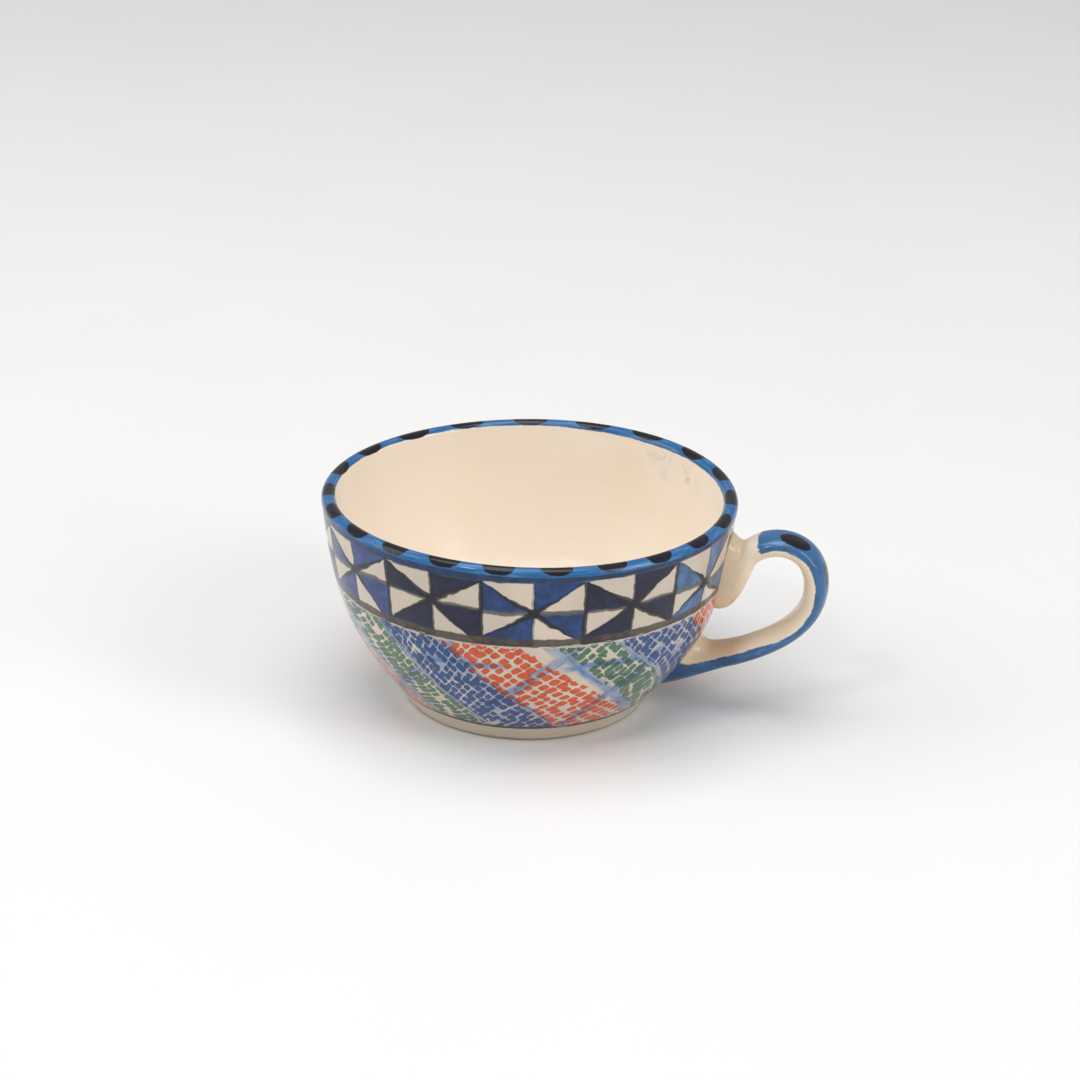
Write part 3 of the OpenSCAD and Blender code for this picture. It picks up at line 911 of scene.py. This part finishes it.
def handle_paint():
    """Cream glaze with a blue stripe down the strap's back and black dabs on it."""
    p = Paint("handle_glaze_with_painted_back")
    run = p.attribute("run")
    across = p.attribute("across")
    drift = p.noise(4, 100) * 0.8 + p.noise(1.2, 101) * 0.3
    colour = ground(p, HANDLE_CREAM, HANDLE_WARM)
    # Painted shade: the cream darkens towards the wall at both joins of the strap
    root = (p.radius + drift).step(67, 60.5)
    colour = p.mix(colour, ROOT_SHADE_CREAM, root * 0.6)
    stain = (p.z + p.noise(2, 102)).near(37, 3.0, 2.4) * p.x.near(61, 0.9, 1.5)
    colour = p.mix(colour, CORAL_STAIN, stain * p.noise(1.6, 111).step(-0.3, 0.8) * 0.6)
    bare = run.near(STRIPE_START - 1.6, 0.9, 1.2) * across.step(8, 5)
    colour = p.mix(colour, BARE_WHITE, bare * 0.6)
    # The blue stripe on the back of the strap, with a ragged edge
    start = (run + drift * 0.5 + p.noise(0.7, 103) * 0.3).step(STRIPE_START - 0.3, STRIPE_START + 0.3)
    face = across + p.noise(6, 104) * 0.35 + p.noise(1.1, 105) * 0.16 + run.step(4, 18) * 0.4
    face = face - run.step(36, 58) * 1.5
    face = face.step(8.35, 7.95)
    streak = p.noise(1.0, 106, detail=3, place=p.vector(run * 0.16, across * 1.0, p.y * 0.4))
    blue = p.mix(STRIPE_BLUE, RIM_LIGHT, (streak * 0.62 + 0.05).step(0.1, 0.9) * 0.8)
    # The stripe deepens in random pools, and painted shade darkens it more towards the lower join
    lower_strap_shade = run.step(40, 64)
    pool = (p.noise(4.5, 107) * 0.6 + 0.2 + lower_strap_shade * 0.5).step(0.2, 0.9)
    blue = p.mix(blue, STRIPE_DEEP, pool * 0.8)
    stripe = start * face
    colour = p.mix(colour, blue, stripe * 0.97)
    # Black dabs along it
    lap = (run - FIRST_DAB) / DAB_STEP + 0.5
    index = lap.floor()
    first = index.near(0, 0.3, 0.1)
    middle = p.lerp((p.chance(index, 108) - 0.5) * 2 - 0.8, -1.9, first)
    shape = (abs(lap - index - 0.5) * DAB_STEP / 3.8) ** 2.3 + (abs(p.y - middle) / 2.9) ** 2.3
    dab = (shape + p.noise(1.1, 109) * 0.06).step(1.07, 0.92) * across.step(7.8, 7.0)
    dab = dab * run.step(FIRST_DAB - 5.5, FIRST_DAB - 5)
    dab = dab * run.step(LAST_DAB + 0.5, LAST_DAB - 0.5)
    colour = p.mix(colour, ink(p, BLACK, 2, 0.4), dab * 0.98)
    far, pick = p.specks(1.5, 110)
    pores = far.step(0.16, 0.04) * pick.step(0.55, 0.6) * root
    colour = p.mix(colour, IRON, pores * 0.45)
    relief = glaze_relief(p) - pores * 0.05 + stripe * 0.02 + dab * 0.04
    return p.finish(colour, glaze_roughness(p), relief)


def floor_paint():
    p = Paint("studio_floor")
    tone = p.noise(90, 120) * 0.01 + 0.9
    shade = p.node("ShaderNodeCombineColor")
    for socket in shade.inputs[:3]:
        p.put(socket, tone)
    return p.finish(shade.outputs[0], 0.6 + p.noise(60, 121) * 0.05, p.noise(1.5, 122) * 0.01,
                    gloss=0.0, specular=0.2)


# ---------------------------------------------------------------- the object
pieces = build_cup()
finishes = {
    "mosaic": (mosaic_paint, "painted_glaze", ["outer_glaze"]),
    "belly": (belly_paint, "painted_glaze", ["outer_glaze"]),
    "rim": (rim_paint, "rim_glaze", ["rim_glaze"]),
    "inside": (inside_paint, "cream_glaze", ["inner_glaze"]),
    "clay": (clay_paint, "stoneware", ["bowl"]),
    "foot": (foot_paint, "foot_stoneware", ["foot_ring"]),
    "handle": (handle_paint, "handle_glaze", ["handle", "upper_handle_join", "lower_handle_join"]),
}
for key, (paint, slot, nodes) in finishes.items():
    pieces[key].data.materials.append(paint())
    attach(pieces[key], "root")
    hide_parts(*nodes)


# ---------------------------------------------------------------- floor, lights and camera
def floor_and_back():
    """A pale sweep: a flat floor that curves up far behind."""
    half, bend_start, bend_r, top, steps = 6.0, 3.0, 2.0, 5.0, 24
    line = [(-half, 0.0), (bend_start, 0.0)]
    for i in range(1, steps + 1):
        a = math.pi / 2 * i / steps
        line.append((bend_start + bend_r * math.sin(a), bend_r * (1 - math.cos(a))))
    line.append((bend_start + bend_r, top))
    points = [(x, y, z) for y, z in line for x in (-half, half)]
    faces = [(2 * i, 2 * i + 1, 2 * i + 3, 2 * i + 2) for i in range(len(line) - 1)]
    floor = make_mesh("studio_floor", np.array(points) / MM, faces)
    floor.data.materials.append(floor_paint())


def area_light(name, power, size, place, aim=(0, 0, 0.03)):
    light = bpy.data.lights.new(name, "AREA")
    light.shape = "RECTANGLE"
    light.energy = power
    light.size, light.size_y = size
    obj = bpy.data.objects.new(name, light)
    bpy.context.scene.collection.objects.link(obj)
    obj.location = place
    obj.rotation_euler = (Vector(place) - Vector(aim)).to_track_quat("Z", "Y").to_euler()


def studio():
    world = bpy.data.worlds.new("soft_room")
    world.use_nodes = True
    background = world.node_tree.nodes["Background"]
    background.inputs[0].default_value = (1.0, 0.98, 0.96, 1)
    background.inputs[1].default_value = 0.36
    bpy.context.scene.world = world
    area_light("left_softbox", power=6.8, size=(0.8, 1.3), place=(-1.35, -0.35, 0.8))
    area_light("right_softbox", power=8, size=(0.5, 1.1), place=(1.35, -0.5, 0.8))
    area_light("top_softbox", power=15.2, size=(1.3, 1.3), place=(-0.1, -0.1, 1.7))
    area_light("small_key", power=1.8, size=(0.2, 0.2), place=(-0.45, -0.85, 1.15))


def camera():
    """The photo's angle: from the front, a little to the right and above, and not quite level."""
    azimuth, elevation, roll = math.radians(10), math.radians(24.23), math.radians(1.16)
    distance = 0.9
    target = Vector((0, 0, 0.031))
    back = Vector((math.sin(azimuth) * math.cos(elevation),
                   -math.cos(azimuth) * math.cos(elevation), math.sin(elevation)))
    data = bpy.data.cameras.new("view")
    data.sensor_width = 36
    data.lens = 102.3
    data.shift_x = 0.01146
    data.shift_y = 0.0472
    data.clip_start, data.clip_end = 0.01, 50
    data.dof.use_dof = False
    obj = bpy.data.objects.new("view", data)
    bpy.context.scene.collection.objects.link(obj)
    turn = (Matrix.Rotation(azimuth, 4, "Z") @ Matrix.Rotation(math.pi / 2 - elevation, 4, "X")
            @ Matrix.Rotation(roll, 4, "Z"))
    obj.matrix_world = Matrix.Translation(target + back * distance) @ turn
    bpy.context.scene.camera = obj


floor_and_back()
studio()
camera()
bpy.context.scene.view_settings.view_transform = "Standard"
